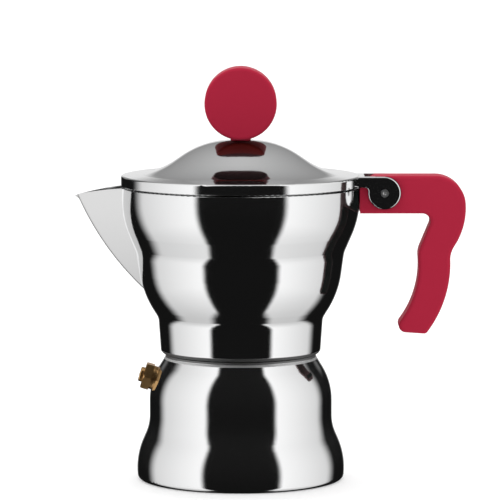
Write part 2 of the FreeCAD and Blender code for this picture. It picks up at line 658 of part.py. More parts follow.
def lip_flare():
    """The small pointed flare of the pouring lip, which runs out along both sides of the spout's rim."""
    tip, lip = spout_tip()
    spread = SPOUT_LIP_RUN * math.tan(math.radians(SPOUT_HALF_ANGLE))
    ends = [tip + at(SPOUT_LIP_RUN, 0, y) for y in (-spread, spread)]
    corners = ((tip, lip, ends[0]), (tip, lip, ends[1]), (tip, *ends), (lip, *ends))
    faces = [Part.Face(Part.makePolygon([a, b, c, a])) for a, b, c in corners]
    return Part.Solid(Part.Shell(faces))


def above_spout():
    """The space over the spout's rim, which falls gently from the collector's rim to the tip."""
    tip = spout_tip()[0]
    brow = at(COLLECTOR_WALL - RIM_RADIUS, RIM_Z)
    front = tip + (tip - brow) * 0.5
    edges = path(at(front.x, BRIM_Z), front, tip) + [crowned(tip, brow, -SPOUT_RIM_CROWN)]
    edges += path(brow, at(0, RIM_Z), at(0, BRIM_Z), at(front.x, BRIM_Z))
    space = face_of(edges).extrude(ACROSS * 2 * RIM_RADIUS)
    space.translate(ACROSS * -RIM_RADIUS)
    return space


def tongue(clearance):
    """The lug that carries the handle, with its eye for the hinge pin, grown by clearance."""
    half = TONGUE_THICKNESS / 2 + clearance
    bar = slab(CREASE_RADIUS, HINGE_REACH, half, TONGUE_Z - clearance, RIM_Z - TONGUE_RIM_STEP + clearance)
    return bar.fuse(cross_drum(TONGUE_EYE_RADIUS + clearance, HINGE_REACH, HINGE_Z, half))


def column():
    """The tapered coffee outlet on the collector's floor, solid until it is bored."""
    return Part.makeCone(COLUMN_FOOT_RADIUS, COLUMN_TOP_RADIUS, COLUMN_HEIGHT, at(0, COLLECTOR_FLOOR_Z))


def collector():
    """The upper casting: collar, two bulges, beak spout, coffee column and the tongue for the handle."""
    sharpness = 1 / math.sin(math.radians(SPOUT_HALF_ANGLE)) - 1
    spout = rounded(beak(-SPOUT_RIDGE_EDGE * sharpness, SPOUT_HALF_ANGLE), SPOUT_RIDGE_EDGE, flat_edges(0))
    spout = spout.fuse(lip_flare()).cut(above_spout())
    body = collector_casting().fuse([spout, tongue(0)])
    body = body.cut(collector_chamber()).cut(beak(SPOUT_RIDGE_WALL, SPOUT_BORE_HALF_ANGLE))
    body = body.fuse(column())
    dome = Part.makeCone(GASKET_BORE_RADIUS, COLUMN_BORE_RADIUS, SEAL_DOME_HEIGHT, at(0, SEAL_CEILING_Z))
    column_top = COLLECTOR_FLOOR_Z + COLUMN_HEIGHT
    bore_top = column_top - COLUMN_CAP_THICKNESS
    outlet = cross_drum(COLUMN_OUTLET_RADIUS, 0, bore_top - COLUMN_OUTLET_RADIUS, COLUMN_FOOT_RADIUS)
    tools = [
        drum(COLLAR_BORE_RADIUS, COLLAR_Z, GASKET_Z),
        drum(SEAL_RECESS_RADIUS, COLLAR_Z, SEAL_CEILING_Z), dome,
        drum(COLUMN_BORE_RADIUS, SEAL_CEILING_Z, bore_top), outlet,
        cross_drum(HINGE_PIN_RADIUS + PIN_CLEARANCE, HINGE_REACH, HINGE_Z, HANDLE_HALF),
        handle_screw_drum(HANDLE_SCREW_RADIUS + SCREW_CLEARANCE, HANDLE_ARM_Z, HANDLE_SCREW_TOP_Z),
    ]
    for tool in tools:
        body = body.cut(tool)
    return body


def handle_screw_drum(radius, bottom, top):
    """A cylinder on the handle screw's axis."""
    return Part.makeCylinder(radius, top - bottom, at(HANDLE_SCREW_REACH, bottom))


def edge_at(point):
    """A test for the edge along Y that crosses the middle plane at that point."""
    def chosen(edge):
        box = edge.BoundBox
        return box.XLength + box.ZLength < 1e-3 and abs(box.XMin - point.x) + abs(box.ZMin - point.z) < 1e-3
    return chosen


def swing_point(height):
    """The point of the handle's end at that height, on its round about the hinge pin."""
    return at(HINGE_REACH - math.sqrt(HANDLE_SWING_RADIUS ** 2 - (height - HINGE_Z) ** 2), height)


def handle_plate():
    """The handle's flat form: arm, round shoulder and a grip of two bulges each side, its corners rounded."""
    top, arm, toe = HANDLE_TOP_Z, HANDLE_ARM_Z, HANDLE_TOP_Z - HANDLE_DROP
    shoulder = at(HANDLE_REACH - HANDLE_SHOULDER_RADIUS, top)
    outside = at(HANDLE_REACH, top - HANDLE_SHOULDER_RADIUS)
    crease = at(HANDLE_REACH - GRIP_CREASE_INSET, top - GRIP_CREASE_DROP)
    inner_crease = at(crease.x - GRIP_WIDTH, crease.z)
    crotch = at(HANDLE_REACH - GRIP_CROTCH_INSET, arm)
    outer_toe = at(HANDLE_REACH - GRIP_TOE_INSET, toe)
    inner_toe = at(outer_toe.x - GRIP_TOE_WIDTH, toe + GRIP_TOE_RISE)
    edges = [line(swing_point(top), shoulder), tangent_arc(shoulder, at(1, 0), outside)[0]]
    edges += [crowned(crease, outside, GRIP_UPPER_CROWN), crowned(outer_toe, crease, GRIP_LOWER_CROWN)]
    edges += [line(outer_toe, inner_toe), crowned(inner_toe, inner_crease, GRIP_INNER_CROWN)]
    edges += path(inner_crease, crotch, at(CREASE_RADIUS, arm), at(CREASE_RADIUS, RIM_Z), swing_point(RIM_Z))
    edges += [arc(swing_point(RIM_Z), swing_point((RIM_Z + top) / 2), swing_point(top))]
    plate = face_of(edges).extrude(ACROSS * HANDLE_THICKNESS)
    plate.translate(ACROSS * -HANDLE_HALF)
    for corner, radius in (
        (crease, GRIP_CREASE_FILLET), (inner_crease, GRIP_CREASE_FILLET), (crotch, GRIP_CROTCH_FILLET),
        (outer_toe, GRIP_HEEL_FILLET), (inner_toe, GRIP_TOE_FILLET),
    ):
        plate = rounded(plate, radius, edge_at(corner))
    return plate


def handle():
    """The moulded handle: the flat plate with soft edges, slotted over the collector's tongue."""
    body = handle_plate()
    for face_y in (-HANDLE_HALF, HANDLE_HALF):
        in_face = flat_edges(face_y)
        body = rounded(body, HANDLE_EDGE, lambda e: in_face(e) and e.BoundBox.XMax > HINGE_REACH)
    slot_half = TONGUE_THICKNESS / 2 + TONGUE_CLEARANCE
    open_top = slab(CREASE_RADIUS, swing_point(RIM_Z).x, slot_half, TONGUE_Z, LID_Z)
    tools = [
        drum(RIM_RADIUS + HANDLE_WALL_GAP, HANDLE_ARM_Z, BRIM_Z), tongue(TONGUE_CLEARANCE), open_top,
        cross_drum(HINGE_PIN_RADIUS + PIN_CLEARANCE, HINGE_REACH, HINGE_Z, HANDLE_HALF),
        handle_screw_drum(HANDLE_SCREW_RADIUS + SCREW_CLEARANCE, HANDLE_ARM_Z, HINGE_Z),
        handle_screw_drum(HANDLE_SCREW_HEAD_RADIUS + SCREW_CLEARANCE, HANDLE_ARM_Z, HANDLE_SCREW_SEAT_Z),
    ]
    for tool in tools:
        body = body.cut(tool)
    return body


def cross_slot(centre, width, depth, head_radius):
    """A cross-shaped driver recess that goes up from the centre of a screw head."""
    reach = head_radius * 0.6
    bars = [Part.makeBox(2 * reach, width, depth, centre - FreeCAD.Vector(reach, width / 2, 0)),
            Part.makeBox(width, 2 * reach, depth, centre - FreeCAD.Vector(width / 2, reach, 0))]
    return bars[0].fuse(bars[1])


def handle_screw():
    """The flat-headed screw that holds the handle up against the tongue."""
    shank = handle_screw_drum(HANDLE_SCREW_RADIUS, HANDLE_SCREW_SEAT_Z, HANDLE_SCREW_TOP_Z)
    head = handle_screw_drum(HANDLE_SCREW_HEAD_RADIUS, HANDLE_ARM_Z, HANDLE_SCREW_SEAT_Z)
    centre = at(HANDLE_SCREW_REACH, HANDLE_ARM_Z)
    slot = cross_slot(centre, HANDLE_SCREW_DRIVE_WIDTH, HANDLE_SCREW_DRIVE_DEPTH, HANDLE_SCREW_HEAD_RADIUS)
    return head.fuse(shank).cut(slot).removeSplitter()


def hinge_pin():
    """The rivet through tongue, handle and ears, dimpled at both ends."""
    half = EAR_OUTER + HINGE_PIN_PROUD
    pin = cross_drum(HINGE_PIN_RADIUS, HINGE_REACH, HINGE_Z, half)
    for side in (-1, 1):
        end = at(HINGE_REACH, HINGE_Z, side * half)
        pin = pin.cut(Part.makeCone(HINGE_PIN_DIMPLE_RADIUS, 0, HINGE_PIN_DIMPLE_DEPTH, end, ACROSS * -side))
    return pin


def dome_corners(drop):
    """The corners of the lid's bell with their roundings, lowered by drop: flat seat, crown and flare."""
    return [
        (at(0, APEX_Z - drop), 0), (at(CROWN_RADIUS, APEX_Z - drop), DOME_CROWN_CURVE),
        (at(FLARE_RADIUS, FLARE_Z - drop), DOME_FLARE_CURVE),
    ]


def lid_disc():
    """The turned lid without its ears: dome, brim, rim and the lip that centres it in the collector."""
    lip = RIM_RADIUS - COLLECTOR_WALL - LID_LIP_CLEARANCE
    inner_lip = lip - LID_LIP_WIDTH
    under = BRIM_Z - LID_WALL
    lip_z = RIM_Z - LID_LIP_DEPTH
    groove = LID_RADIUS - LID_RIM_WIDTH
    brow = at(inner_lip, under + BRIM_RISE * (LID_RADIUS - inner_lip) / BRIM_WIDTH)
    edges = eased(
        *dome_corners(0), (at(LID_RADIUS, BRIM_Z), LID_EDGE),
        (at(LID_RADIUS, LID_Z), LID_FOOT_EDGE), (at(groove, LID_Z), 0),
    )
    edges += path(
        at(groove, LID_Z), at(groove, under), at(lip, under), at(lip, lip_z), at(inner_lip, lip_z), brow,
    )
    edges += eased(*dome_corners(LID_WALL), (brow, 0)) + [line(at(0, LID_CEILING_Z), at(0, APEX_Z))]
    return turned(edges)


def lid_ears():
    """The two hinge ears: one arm and eye across the full width, slotted for the handle."""
    arm = slab(LID_RADIUS - LID_RIM_WIDTH, HINGE_REACH, EAR_OUTER, LID_Z, BRIM_Z)
    eye = cross_drum(EAR_RADIUS, HINGE_REACH, HINGE_Z, EAR_OUTER)
    block = arm.fuse(eye).removeSplitter()
    heel = at(HINGE_REACH - math.sqrt(EAR_RADIUS ** 2 - (LID_Z - HINGE_Z) ** 2), LID_Z)
    block = rounded(block, EAR_HEEL_FILLET, edge_at(heel))
    for face_y in (-EAR_OUTER, EAR_OUTER):
        in_face = flat_edges(face_y)
        block = rounded(block, EAR_EDGE, lambda e: in_face(e) and e.BoundBox.XMax > LID_RADIUS)
    return block


def lid():
    """The hinged lid: bell dome, brim and two ears on the hinge pin."""
    body = lid_disc().fuse(lid_ears())
    body = body.cut(cross_drum(LID_SWING_RADIUS, HINGE_REACH, HINGE_Z, EAR_INNER))
    body = body.cut(cross_drum(HINGE_PIN_RADIUS + PIN_CLEARANCE, HINGE_REACH, HINGE_Z, EAR_OUTER))
    body = body.cut(drum(KNOB_SCREW_RADIUS + SCREW_CLEARANCE, LID_CEILING_Z, APEX_Z))
    return body.removeSplitter()


def knob():
    """The upright disc that lifts the lid, on a short round foot and bored for its bush."""
    half = KNOB_THICKNESS / 2
    disc = cross_drum(KNOB_RADIUS, 0, KNOB_CENTRE_Z, half)
    for face_y in (-half, half):
        disc = rounded(disc, KNOB_EDGE, flat_edges(face_y))
    body = disc.fuse(drum(DOME_SEAT_RADIUS, APEX_Z, KNOB_CENTRE_Z))
    return body.cut(drum(INSERT_RADIUS, APEX_Z, APEX_Z + INSERT_LENGTH)).removeSplitter()


def knob_insert():
    """The threaded bush moulded into the knob."""
    return ring(INSERT_RADIUS, KNOB_SCREW_RADIUS + SCREW_CLEARANCE, APEX_Z, APEX_Z + INSERT_LENGTH)


def knob_screw():
    """The screw from inside the lid up into the knob's bush."""
    head_z = KNOB_SCREW_SEAT_Z - KNOB_SCREW_HEAD_HEIGHT
    head = rounded(drum(KNOB_SCREW_HEAD_RADIUS, head_z, KNOB_SCREW_SEAT_Z), KNOB_SCREW_HEAD_HEIGHT / 2,
                   circle_at(KNOB_SCREW_HEAD_RADIUS, head_z))
    shank = drum(KNOB_SCREW_RADIUS, KNOB_SCREW_SEAT_Z, KNOB_SCREW_TOP_Z)
    slot = cross_slot(at(0, head_z), KNOB_SCREW_DRIVE_WIDTH, KNOB_SCREW_DRIVE_DEPTH, KNOB_SCREW_HEAD_RADIUS)
    return head.fuse(shank).cut(slot).removeSplitter()


def knob_washer():
    """The flat washer between the screw's head and the lid."""
    return ring(KNOB_WASHER_RADIUS, KNOB_SCREW_RADIUS + SCREW_CLEARANCE, KNOB_SCREW_SEAT_Z, LID_CEILING_Z)


PIECES = (
    boiler, valve_body, valve_washer, valve_retainer, valve_seal, valve_plunger, valve_spring, funnel,
    funnel_strainer, gasket, filter_plate, collector, handle, handle_screw, hinge_pin, lid, knob, knob_insert,
    knob_screw, knob_washer,
)


def main():
    """Builds every piece and writes one STEP file for each."""
    os.makedirs("parts", exist_ok=True)
    for piece in PIECES:
        solid = piece()
        print(piece.__name__, "valid" if solid.isValid() and len(solid.Solids) == 1 else "broken")
        solid.exportStep(f"parts/{piece.__name__}.step")


if __name__ == "__main__":
    main()
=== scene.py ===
"""Looks of a one-cup stovetop moka pot: mirror-polished castings, red moulded grip and knob, brass valve.

Everything is in metres, in the frame of the construction model: the pot stands on Z = 0 with its axis on Z,
the spout points along -X and the handle along +X.
"""

import json
import logging
import math
from dataclasses import dataclass, field, replace
from enum import Enum

import bmesh
import bpy
from mathutils import Matrix


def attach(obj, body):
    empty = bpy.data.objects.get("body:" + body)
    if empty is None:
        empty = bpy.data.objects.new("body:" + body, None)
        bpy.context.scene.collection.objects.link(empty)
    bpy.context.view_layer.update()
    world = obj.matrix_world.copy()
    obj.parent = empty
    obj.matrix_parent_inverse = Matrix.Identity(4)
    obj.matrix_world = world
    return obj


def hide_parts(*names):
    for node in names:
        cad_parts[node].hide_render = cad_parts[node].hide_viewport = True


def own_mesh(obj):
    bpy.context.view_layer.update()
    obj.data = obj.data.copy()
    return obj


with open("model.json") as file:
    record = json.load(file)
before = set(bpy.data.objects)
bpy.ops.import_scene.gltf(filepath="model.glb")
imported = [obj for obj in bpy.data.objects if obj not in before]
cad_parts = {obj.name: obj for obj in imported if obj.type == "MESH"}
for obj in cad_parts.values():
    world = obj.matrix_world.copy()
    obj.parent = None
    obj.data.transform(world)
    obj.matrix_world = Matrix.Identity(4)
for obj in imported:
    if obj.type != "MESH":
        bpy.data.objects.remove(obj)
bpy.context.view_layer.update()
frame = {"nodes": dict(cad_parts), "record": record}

LOG = logging.getLogger("moka_pot")
Colour = tuple[float, float, float]
Profile = tuple[tuple[float, float], ...]
Socket = bpy.types.NodeSocket


class Slot(Enum):
    """The record's material slots."""

    POLISHED = "polished_aluminium"
    SPUN = "spun_aluminium"
    SILICONE = "silicone"
    FIBRE = "fibre"
    BRASS = "brass"
    STEEL = "steel"
    RED = "red_nylon"


class Effect(Enum):
    """Surface effects that several finishes share."""

    GRAIN = "fine_grain"
    RINGS = "turned_rings"
    CLOUD = "soft_cloud"


class Sheet:
    """A node tree that is filled by short calls. A Mix node has separate sockets for numbers and colours."""

    mix_numbers: tuple[int, int] = (2, 3)
    mix_colours: tuple[int, int] = (6, 7)
    mixed_number: int = 0
    mixed_colour: int = 2

    def __init__(self, tree: bpy.types.NodeTree) -> None:
        """Keeps the tree and empties it.

        Args:
            tree: the node tree of a material, a world or a group.
        """
        self.tree = tree
        tree.nodes.clear()

    def add(self, kind: str, **settings: object) -> bpy.types.Node:
        """Adds a node.

        Args:
            kind: the node's type name.
            settings: properties of the node, and inputs by their name with spaces as underscores.

        Returns:
            The new node.
        """
        node = self.tree.nodes.new(kind)
        for name, value in settings.items():
            if hasattr(node, name):
                setattr(node, name, value)
            else:
                node.inputs[name.replace("_", " ")].default_value = value
        return node

    def join(self, source: Socket, target: Socket) -> None:
        """Links an output to an input.

        Args:
            source: the output.
            target: the input.
        """
        self.tree.links.new(source, target)

    def feed(self, value: object, target: Socket) -> None:
        """Links a socket to an input, or sets a plain value on it.

        Args:
            value: a socket, a number or a colour.
            target: the input.
        """
        if isinstance(value, Socket):
            self.join(value, target)
        else:
            target.default_value = value

    def math(self, operation: str, first: object, second: object = 0.0) -> Socket:
        """Adds a Math node.

        Args:
            operation: the name of the sum.
            first: a socket or a number.
            second: a socket or a number.

        Returns:
            The node's output.
        """
        node = self.add("ShaderNodeMath", operation=operation)
        self.feed(first, node.inputs[0])
        self.feed(second, node.inputs[1])
        return node.outputs[0]

    def smooth(self, value: Socket, low: float, high: float) -> Socket:
        """Adds a smooth step.

        Args:
            value: the value that is mapped.
            low: where the step starts, at 0.
            high: where the step ends, at 1.

        Returns:
            The step's value.
        """
        node = self.add("ShaderNodeMapRange", interpolation_type="SMOOTHSTEP", From_Min=low, From_Max=high)
        self.join(value, node.inputs["Value"])
        return node.outputs["Result"]

    def blend(self, factor: object, first: object, second: object) -> Socket:
        """Mixes two numbers.

        Args:
            factor: a socket or a number from 0, the first, to 1, the second.
            first: a socket or a number.
            second: a socket or a number.

        Returns:
            The mixed number.
        """
        node = self.add("ShaderNodeMix", data_type="FLOAT")
        self.feed(factor, node.inputs["Factor"])
        for value, place in zip((first, second), self.mix_numbers):
            self.feed(value, node.inputs[place])
        return node.outputs[self.mixed_number]

    def tint(self, factor: object, first: object, second: object) -> Socket:
        """Mixes two colours.

        Args:
            factor: a socket or a number from 0, the first, to 1, the second.
            first: a socket, or three numbers.
            second: a socket, or three numbers.

        Returns:
            The mixed colour.
        """
        node = self.add("ShaderNodeMix", data_type="RGBA")
        self.feed(factor, node.inputs["Factor"])
        for value, place in zip((first, second), self.mix_colours):
            self.feed(value if isinstance(value, Socket) else (*value, 1.0), node.inputs[place])
        return node.outputs[self.mixed_colour]

    def ramp(self, source: Socket, stops: Profile) -> Socket:
        """Adds a grey ramp.

        Args:
            source: the value that is mapped.
            stops: pairs of place and grey value, in order.

        Returns:
            The mapped value.
        """
        node = self.add("ShaderNodeValToRGB")
        band = node.color_ramp
        while len(band.elements) < len(stops):
            band.elements.new(0.5)
        for element, (place, grey) in zip(band.elements, stops):
            element.position = place
            element.color = (grey, grey, grey, 1.0)
        self.join(source, node.inputs[0])
        return node.outputs[0]

    def split(self, vector: Socket) -> bpy.types.NodeOutputs:
        """Splits a vector.

        Args:
            vector: the vector.

        Returns:
            Its X, Y and Z.
        """
        node = self.add("ShaderNodeSeparateXYZ")
        self.join(vector, node.inputs[0])
        return node.outputs

    def reach(self, vector: Socket) -> Socket:
        """Gives a point's distance from the pot's axis.

        Args:
            vector: the point.

        Returns:
            The distance, in metres.
        """
        parts = self.split(vector)
        squares = [self.math("MULTIPLY", parts[axis], parts[axis]) for axis in ("X", "Y")]
        return self.math("SQRT", self.math("ADD", squares[0], squares[1]))


class Effects:
    """The shared surface effects as shader node groups, each built when it is first used."""

    detail: dict[Effect, float] = {Effect.GRAIN: 2.0, Effect.RINGS: 3.0, Effect.CLOUD: 4.0}

    def __init__(self) -> None:
        """Starts with no group."""
        self.made: dict[Effect, bpy.types.NodeTree] = {}

    def group(self, effect: Effect) -> bpy.types.NodeTree:
        """Gives the effect's node group.

        Args:
            effect: the effect that is asked for.

        Returns:
            The node group, with the inputs Vector, Scale and Spread and the outputs Height and Shift.
        """
        if effect not in self.made:
            self.made[effect] = self.build(effect)
        return self.made[effect]

    def build(self, effect: Effect) -> bpy.types.NodeTree:
        """Builds an effect's node group.

        Args:
            effect: the effect that is built.

        Returns:
            The node group.
        """
        tree = bpy.data.node_groups.new(effect.value, "ShaderNodeTree")
        tree.interface.new_socket("Vector", in_out="INPUT", socket_type="NodeSocketVector")
        tree.interface.new_socket("Scale", in_out="INPUT", socket_type="NodeSocketFloat")
        tree.interface.new_socket("Spread", in_out="INPUT", socket_type="NodeSocketFloat")
        tree.interface.new_socket("Height", in_out="OUTPUT", socket_type="NodeSocketFloat")
        tree.interface.new_socket("Shift", in_out="OUTPUT", socket_type="NodeSocketFloat")
        sheet = Sheet(tree)
        given = sheet.add("NodeGroupInput")
        result = sheet.add("NodeGroupOutput")
        height = self.pattern(effect, sheet, given)
        centred = sheet.math("SUBTRACT", height, 0.5)
        sheet.join(height, result.inputs["Height"])
        sheet.join(sheet.math("MULTIPLY", centred, given.outputs["Spread"]), result.inputs["Shift"])
        return tree

    def pattern(self, effect: Effect, sheet: Sheet, given: bpy.types.Node) -> Socket:
        """Lays out an effect's pattern.

        Args:
            effect: the effect that is built.
            sheet: the group's nodes.
            given: the group's input node.

        Returns:
            The pattern, from 0 to 1.
        """
        if effect is Effect.RINGS:
            noise = sheet.add("ShaderNodeTexNoise", noise_dimensions="1D", Detail=self.detail[effect])
            sheet.join(sheet.reach(given.outputs["Vector"]), noise.inputs["W"])
        else:
            noise = sheet.add("ShaderNodeTexNoise", Detail=self.detail[effect])
            sheet.join(given.outputs["Vector"], noise.inputs["Vector"])
        sheet.join(given.outputs["Scale"], noise.inputs["Scale"])
        return noise.outputs[0]


EFFECTS = Effects()


@dataclass(frozen=True)
class PaintedSeamRing:
    """A level ring round a casting, painted lighter or darker than the rest as the light and shade of a
    seam.
    """

    low: float
    high: float
    grey: float
    roughness: float
    fade: float = 0.0002

    def mask(self, sheet: Sheet, coords: bpy.types.Node) -> Socket:
        """Finds the ring by its height.

        Args:
            sheet: the material's nodes.
            coords: the texture coordinate node.

        Returns:
            A mask that is 1 on the ring.
        """
        height = sheet.split(coords.outputs["Object"])["Z"]
        above = sheet.smooth(height, self.low - self.fade, self.low)
        return sheet.math("MULTIPLY", above, sheet.smooth(height, self.high + self.fade, self.high))


@dataclass(frozen=True)
class Finish:
    """A surface finish that becomes one material: two near colours, a varied gloss and a fine relief, with
    painted shade in its reflections and painted seam rings where they are set.
    """

    name: str
    colour: Colour
    second_colour: Colour
    roughness: float
    metallic: float = 0.0
    specular: float = 0.5
    sheen: float = 0.0
    sheen_tint: Colour = (1.0, 1.0, 1.0)
    relief: Effect = Effect.GRAIN
    relief_scale: float = 2600.0
    relief_depth: float = 0.00001
    relief_strength: float = 0.5
    gloss_spread: float = 0.04
    cloud_scale: float = 60.0
    # Painted shade: colours that replace the base colour where the piece is seen in a reflection, near and
    # far.
    mirror_shade_colour: Colour | None = None
    far_mirror_shade_colour: Colour | None = None
    far_from: float = 0.0195
    far_fade: float = 0.0025
    painted_seam_rings: tuple[PaintedSeamRing, ...] = ()
    lining: Profile = ()
    lining_colour: Colour = (0.74, 0.74, 0.73)
    lining_roughness: float = 0.36
    lining_fade: float = 0.0004
    spout_wall: float = 0.0
    spout_foot: float = 0.0
    spout_fade: float = 0.0003
    spout_colour: Colour = (0.74, 0.74, 0.74)
    spout_roughness: float = 0.17

    def material(self) -> bpy.types.Material:
        """Builds the finish's material.

        Returns:
            The material.
        """
        material = bpy.data.materials.new(self.name)
        material.use_nodes = True
        sheet = Sheet(material.node_tree)
        coords = sheet.add("ShaderNodeTexCoord")
        cloud = self.effect(sheet, coords, Effect.CLOUD, self.cloud_scale, self.gloss_spread)
        relief = self.effect(sheet, coords, self.relief, self.relief_scale, self.gloss_spread)
        shader = sheet.add("ShaderNodeBsdfPrincipled")
        shader.inputs["Metallic"].default_value = self.metallic
        shader.inputs["Specular IOR Level"].default_value = self.specular
        shader.inputs["Sheen Weight"].default_value = self.sheen
        shader.inputs["Sheen Tint"].default_value = (*self.sheen_tint, 1.0)
        colour = sheet.tint(cloud.outputs["Height"], self.colour, self.second_colour)
        # Painted shade in reflections: a glossy ray that meets this surface gets a darker colour, and a
        # second one when the ray has travelled far.
        if self.mirror_shade_colour:
            path = sheet.add("ShaderNodeLightPath")
            mirror_shade = self.mirror_shade_colour
            if self.far_mirror_shade_colour:
                far = sheet.smooth(path.outputs["Ray Length"], self.far_from, self.far_from + self.far_fade)
                mirror_shade = sheet.tint(far, mirror_shade, self.far_mirror_shade_colour)
            colour = sheet.tint(path.outputs["Is Glossy Ray"], colour, mirror_shade)
        rough = sheet.math("ADD", cloud.outputs["Shift"], self.roughness)
        rough = sheet.math("ADD", rough, relief.outputs["Shift"])
        # Painted light and shade: level rings of a set grey that stand in for the seam under the collar.
        for band in self.painted_seam_rings:
            mask = band.mask(sheet, coords)
            colour = sheet.tint(mask, colour, (band.grey, band.grey, band.grey))
            rough = sheet.blend(mask, rough, band.roughness)
        if self.lining:
            depth = self.depth(sheet, coords)
            inside = sheet.smooth(depth, 0.0, self.lining_fade)
            colour = sheet.tint(inside, colour, self.lining_colour)
            rough = sheet.blend(inside, rough, self.lining_roughness)
            if self.spout_wall:
                spout = self.spout(sheet, coords, depth)
                colour = sheet.tint(spout, colour, self.spout_colour)
                rough = sheet.blend(spout, rough, self.spout_roughness)
        sheet.join(colour, shader.inputs["Base Color"])
        sheet.join(rough, shader.inputs["Roughness"])
        bump = sheet.add("ShaderNodeBump", Strength=self.relief_strength, Distance=self.relief_depth)
        sheet.join(relief.outputs["Height"], bump.inputs["Height"])
        sheet.join(bump.outputs["Normal"], shader.inputs["Normal"])
        out = sheet.add("ShaderNodeOutputMaterial")
        sheet.join(shader.outputs[0], out.inputs[0])
        return material

    def depth(self, sheet: Sheet, coords: bpy.types.Node) -> Socket:
        """Measures how far a point lies within a casting's inner skin.

        Args:
            sheet: the material's nodes.
            coords: the texture coordinate node.

        Returns:
            The depth within the lining's radius at the point's height, in metres, or less than 0 outside it.
        """
        bottom, top = self.lining[0][0], self.lining[-1][0]
        widest = max(radius for _, radius in self.lining)
        height = sheet.split(coords.outputs["Object"])["Z"]
        level = sheet.math("DIVIDE", sheet.math("SUBTRACT", height, bottom), top - bottom)
        stops = tuple(((place - bottom) / (top - bottom), radius / widest) for place, radius in self.lining)
        limit = sheet.math("MULTIPLY", sheet.ramp(level, stops), widest)
        limit = sheet.math("MULTIPLY", limit, sheet.math("GREATER_THAN", height, bottom))
        return sheet.math("SUBTRACT", limit, sheet.reach(coords.outputs["Object"]))

    def spout(self, sheet: Sheet, coords: bpy.types.Node, depth: Socket) -> Socket:
        """Finds the spout, which stands out from the wall on the side away from the handle.

        Args:
            sheet: the material's nodes.
            coords: the texture coordinate node.
            depth: how far a point lies within the inner skin.

        Returns:
            A mask that is 1 on the spout.
        """
        parts = sheet.split(coords.outputs["Object"])
        above = sheet.math("GREATER_THAN", parts["Z"], self.spout_foot)
        left = sheet.math("MULTIPLY", above, sheet.math("LESS_THAN", parts["X"], 0.0))
        proud = sheet.smooth(depth, -self.spout_wall, -self.spout_wall - self.spout_fade)
        return sheet.math("MULTIPLY", left, proud)

    @staticmethod
    def effect(sheet: Sheet, coords: bpy.types.Node, effect: Effect, scale: float,
               spread: float) -> bpy.types.Node:
        """Places a shared effect in a material.

        Args:
            sheet: the material's nodes.
            coords: the texture coordinate node.
            effect: the shared effect.
            scale: features in a metre.
            spread: how far the effect shifts the gloss.

        Returns:
            The group node.
        """
        node = sheet.add("ShaderNodeGroup", node_tree=EFFECTS.group(effect))
        sheet.join(coords.outputs["Object"], node.inputs["Vector"])
        node.inputs["Scale"].default_value = scale
        node.inputs["Spread"].default_value = spread
        return node


FINISHES: dict[Slot, Finish] = {
    Slot.POLISHED: Finish("polished_aluminium_skin", (0.905, 0.905, 0.905), (0.885, 0.89, 0.895), 0.075,
                          1.0, gloss_spread=0.03),
    Slot.SPUN: Finish("spun_aluminium_skin", (0.84, 0.84, 0.83), (0.78, 0.78, 0.78), 0.3, 1.0,
                      relief=Effect.RINGS, relief_scale=1400.0, relief_strength=0.3),
    Slot.SILICONE: Finish("silicone_skin", (0.82, 0.81, 0.77), (0.76, 0.75, 0.7), 0.55,
                          relief_scale=900.0, relief_depth=0.00003),
    Slot.FIBRE: Finish("fibre_skin", (0.42, 0.3, 0.18), (0.3, 0.2, 0.11), 0.8,
                       relief_scale=1500.0, relief_depth=0.00004, cloud_scale=400.0),
    Slot.BRASS: Finish("brass_skin", (0.78, 0.49, 0.22), (0.62, 0.35, 0.13), 0.34, 1.0, cloud_scale=250.0),
    Slot.STEEL: Finish("steel_skin", (0.62, 0.61, 0.6), (0.54, 0.54, 0.54), 0.28, 1.0, cloud_scale=200.0),
    # The red nylon's reflections in the castings are painted near black as shade.
    Slot.RED: Finish("red_nylon_skin", (0.37, 0.0178, 0.0435), (0.357, 0.0166, 0.0405), 0.4,
                     specular=0.015, sheen=0.14, sheen_tint=(1.0, 0.3, 0.35), relief_scale=1800.0,
                     relief_depth=0.00002, gloss_spread=0.06, mirror_shade_colour=(0.006, 0.012, 0.011)),
}


def closed_piece(shape: bmesh.types.BMesh, name: str, body: str) -> bpy.types.Object:
    """Closes the ends of a swept shape and makes it a piece.

    Args:
        shape: the swept shape, which is used up.
        name: the piece's name.
        body: the body that it rides on.

    Returns:
        The piece, on its body.
    """
    ends = [edge for edge in shape.edges if edge.is_boundary]
    bmesh.ops.holes_fill(shape, edges=ends)
    bmesh.ops.recalc_face_normals(shape, faces=shape.faces)
    mesh = bpy.data.meshes.new(name)
    shape.to_mesh(mesh)
    shape.free()
    piece = bpy.data.objects.new(name, mesh)
    bpy.context.collection.objects.link(piece)
    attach(piece, body)
    return piece


THREAD_START = 0.0487
THREAD_PITCH = 0.003


